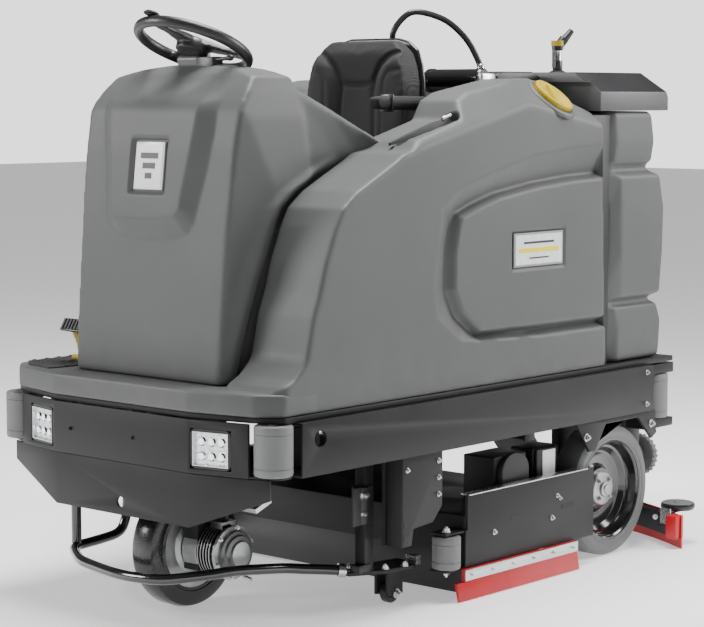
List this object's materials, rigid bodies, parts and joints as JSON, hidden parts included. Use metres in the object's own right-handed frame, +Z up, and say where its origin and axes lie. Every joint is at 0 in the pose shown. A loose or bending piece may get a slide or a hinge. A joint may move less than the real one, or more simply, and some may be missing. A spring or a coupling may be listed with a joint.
{
  "type": "ride-on scrubber drier",
  "caption": "Ride-on floor scrubber drier with steered front drive wheel, moulded tanks, cylindrical brush deck, driver's seat and curved rear squeegee",
  "frame": {"origin": "on the floor, at the middle of the machine's footprint", "axes": "+Z up, -Y towards the front of the machine, +X towards the driver's left"},
  "size_m": [1.206, 1.91, 1.609],
  "materials": {
    "moulding": "satin, fine moulded texture",
    "frame": "satin black powder coat",
    "black_plastic": "matte",
    "battery": "matte",
    "grey_rubber": "matte",
    "black_rubber": "matte",
    "red_rubber": "satin",
    "steel": "satin",
    "aluminium": "satin",
    "yellow": "gloss",
    "upholstery": "woven and vinyl",
    "lens": "clear gloss",
    "bristle": "bristled",
    "gloss_black": "gloss"
  },
  "bodies": {
    "chassis": {"side_beam_left": "frame", "side_beam_right": "frame", "chassis_floor": "frame", "front_bumper": "frame", "headlight_left": "lens", "headlight_right": "lens", "lower_fascia": "frame", "rear_crossmember": "frame", "axle_bracket_left": "frame", "axle_bracket_right": "frame", "guard_hoop": "frame", "hoop_foot": "frame", "step_platform": "moulding", "nose_shell": "moulding", "column_cover": "moulding", "solution_tank_left": "moulding", "solution_tank_right": "moulding", "tank_centre": "moulding", "seat_console": "moulding", "battery_pack": "battery", "top_cover": "black_plastic", "recovery_tank": "moulding", "actuator_cover": "frame", "spray_hose": "black_rubber"},
    "drive_unit": {"drive_fork": "steel", "drive_motor": "aluminium"},
    "front_wheel": {"front_tyre": "black_rubber", "front_rim": "aluminium"},
    "steering_wheel": {"steering_wheel": "gloss_black"},
    "steering_knob": {"steering_knob": "gloss_black"},
    "rear_wheel_left": {"rear_tyre_left": "grey_rubber", "rear_rim_left": "frame"},
    "rear_wheel_right": {"rear_tyre_right": "grey_rubber", "rear_rim_right": "frame"},
    "front_roller_left": {"front_roller_left": "grey_rubber"},
    "front_roller_right": {"front_roller_right": "grey_rubber"},
    "rear_roller_left": {"rear_roller_left": "grey_rubber"},
    "rear_roller_right": {"rear_roller_right": "grey_rubber"},
    "caster_wheel": {"caster_wheel": "black_rubber"},
    "seat": {"seat_cushion": "upholstery"},
    "backrest": {"seat_backrest": "upholstery"},
    "armrest": {"armrest_left": "upholstery"},
    "drive_pedal": {"drive_pedal": "yellow"},
    "deck": {"deck_housing": "black_plastic", "deck_side_left": "frame", "deck_side_right": "frame"},
    "side_lip_left": {"side_lip_left": "red_rubber"},
    "side_lip_right": {"side_lip_right": "red_rubber"},
    "brush_front": {"brush_front": "bristle"},
    "brush_rear": {"brush_rear": "bristle"},
    "deck_roller_left": {"deck_roller_left": "grey_rubber"},
    "deck_roller_right": {"deck_roller_right": "grey_rubber"},
    "squeegee": {"squeegee_bar": "aluminium", "squeegee_blade": "red_rubber"},
    "squeegee_roller_left": {"squeegee_roller_left": "grey_rubber"},
    "squeegee_roller_right": {"squeegee_roller_right": "grey_rubber"},
    "recovery_lid": {"recovery_lid": "black_plastic"},
    "spray_gun": {"spray_gun": "yellow"},
    "filler_cap": {"filler_cap": "yellow"},
    "drain_cap": {"drain_cap": "grey_rubber"}
  },
  "joints": [
    {"name": "drive_steer", "type": "hinge", "parent": "chassis", "child": "drive_unit", "pos_m": [0, -0.712, 0.5], "axis": [0, 0, 1], "range_deg": [-50, 50]},
    {"name": "front_wheel_spin", "type": "hinge", "parent": "drive_unit", "child": "front_wheel", "pos_m": [0, -0.712, 0.165], "axis": [1, 0, 0], "continuous": true},
    {"name": "steering_wheel_turn", "type": "hinge", "parent": "chassis", "child": "steering_wheel", "pos_m": [0, -0.677, 1.486], "axis": [0, 0.3987, 0.9171], "range_deg": [-200, 200]},
    {"name": "steering_knob_spin", "type": "hinge", "parent": "steering_wheel", "child": "steering_knob", "pos_m": [-0.02074, -0.81231, 1.54483], "axis": [0, 0.3987, 0.9171], "continuous": true},
    {"name": "rear_wheel_left_spin", "type": "hinge", "parent": "chassis", "child": "rear_wheel_left", "pos_m": [0.443, 0.558, 0.195], "axis": [1, 0, 0], "continuous": true},
    {"name": "rear_wheel_right_spin", "type": "hinge", "parent": "chassis", "child": "rear_wheel_right", "pos_m": [-0.443, 0.558, 0.195], "axis": [1, 0, 0], "continuous": true},
    {"name": "front_roller_left_spin", "type": "hinge", "parent": "chassis", "child": "front_roller_left", "pos_m": [0.47, -0.873, 0.489], "axis": [0, 0, 1], "continuous": true},
    {"name": "front_roller_right_spin", "type": "hinge", "parent": "chassis", "child": "front_roller_right", "pos_m": [-0.47, -0.873, 0.489], "axis": [0, 0, 1], "continuous": true},
    {"name": "rear_roller_left_spin", "type": "hinge", "parent": "chassis", "child": "rear_roller_left", "pos_m": [0.454, 0.816, 0.449], "axis": [0, 0, 1], "continuous": true},
    {"name": "rear_roller_right_spin", "type": "hinge", "parent": "chassis", "child": "rear_roller_right", "pos_m": [-0.454, 0.816, 0.449], "axis": [0, 0, 1], "continuous": true},
    {"name": "caster_spin", "type": "hinge", "parent": "chassis", "child": "caster_wheel", "pos_m": [0.388, -0.338, 0.029], "axis": [1, 0, 0], "continuous": true},
    {"name": "seat_slide", "type": "slide", "parent": "chassis", "child": "seat", "axis": [0, -1, 0], "range_m": [-0.02, 0.06]},
    {"name": "seat_recline", "type": "hinge", "parent": "seat", "child": "backrest", "pos_m": [0, -0.035, 1.005], "axis": [-1, 0, 0], "range_deg": [-10, 6]},
    {"name": "armrest_flip", "type": "hinge", "parent": "backrest", "child": "armrest", "pos_m": [0.24, -0.012, 1.336], "axis": [-1, 0, 0], "range_deg": [0, 95]},
    {"name": "drive_pedal_press", "type": "hinge", "parent": "chassis", "child": "drive_pedal", "pos_m": [-0.377, -0.738, 0.637], "axis": [1, 0, 0], "range_deg": [0, 18], "stiffness_Nm_per_rad": 6},
    {"name": "deck_lift", "type": "slide", "parent": "chassis", "child": "deck", "axis": [0, 0, 1], "range_m": [0, 0.05]},
    {"name": "side_lip_left_float", "type": "slide", "parent": "deck", "child": "side_lip_left", "axis": [0, 0, 1], "range_m": [0, 0.03]},
    {"name": "side_lip_right_float", "type": "slide", "parent": "deck", "child": "side_lip_right", "axis": [0, 0, 1], "range_m": [0, 0.03]},
    {"name": "brush_front_spin", "type": "hinge", "parent": "deck", "child": "brush_front", "pos_m": [0, 0, 0.066], "axis": [1, 0, 0], "continuous": true},
    {"name": "brush_rear_spin", "type": "hinge", "parent": "deck", "child": "brush_rear", "pos_m": [0, 0.15, 0.066], "axis": [1, 0, 0], "continuous": true},
    {"name": "deck_roller_left_spin", "type": "hinge", "parent": "deck", "child": "deck_roller_left", "pos_m": [0.49, -0.221, 0.134], "axis": [0, 0, 1], "continuous": true},
    {"name": "deck_roller_right_spin", "type": "hinge", "parent": "deck", "child": "deck_roller_right", "pos_m": [-0.49, -0.221, 0.134], "axis": [0, 0, 1], "continuous": true},
    {"name": "squeegee_lift", "type": "hinge", "parent": "chassis", "child": "squeegee", "pos_m": [0, 0.7, 0.3], "axis": [1, 0, 0], "range_deg": [0, 10]},
    {"name": "squeegee_roller_left_spin", "type": "hinge", "parent": "squeegee", "child": "squeegee_roller_left", "pos_m": [0.54, 0.838, 0.1155], "axis": [0, 0, 1], "continuous": true},
    {"name": "squeegee_roller_right_spin", "type": "hinge", "parent": "squeegee", "child": "squeegee_roller_right", "pos_m": [-0.54, 0.838, 0.1155], "axis": [0, 0, 1], "continuous": true},
    {"name": "recovery_lid_open", "type": "hinge", "parent": "chassis", "child": "recovery_lid", "pos_m": [0, 0.838, 1.311], "axis": [-1, 0, 0], "range_deg": [0, 80]},
    {"name": "spray_gun_lift", "type": "slide", "parent": "recovery_lid", "child": "spray_gun", "axis": [0, 0, 1], "range_m": [0, 0.15]},
    {"name": "filler_cap_turn", "type": "hinge", "parent": "chassis", "child": "filler_cap", "pos_m": [0.448, 0.294, 1.346], "axis": [0.621, 0.1402, 0.7712], "range_deg": [0, 90]},
    {"name": "drain_cap_turn", "type": "hinge", "parent": "chassis", "child": "drain_cap", "pos_m": [0.372, 0.873, 0.25], "axis": [0, 1, 0], "continuous": true}
  ],
  "couplings": [
    {"joint": "steering_wheel_turn", "follows": "drive_steer", "ratio": 4}
  ]
}
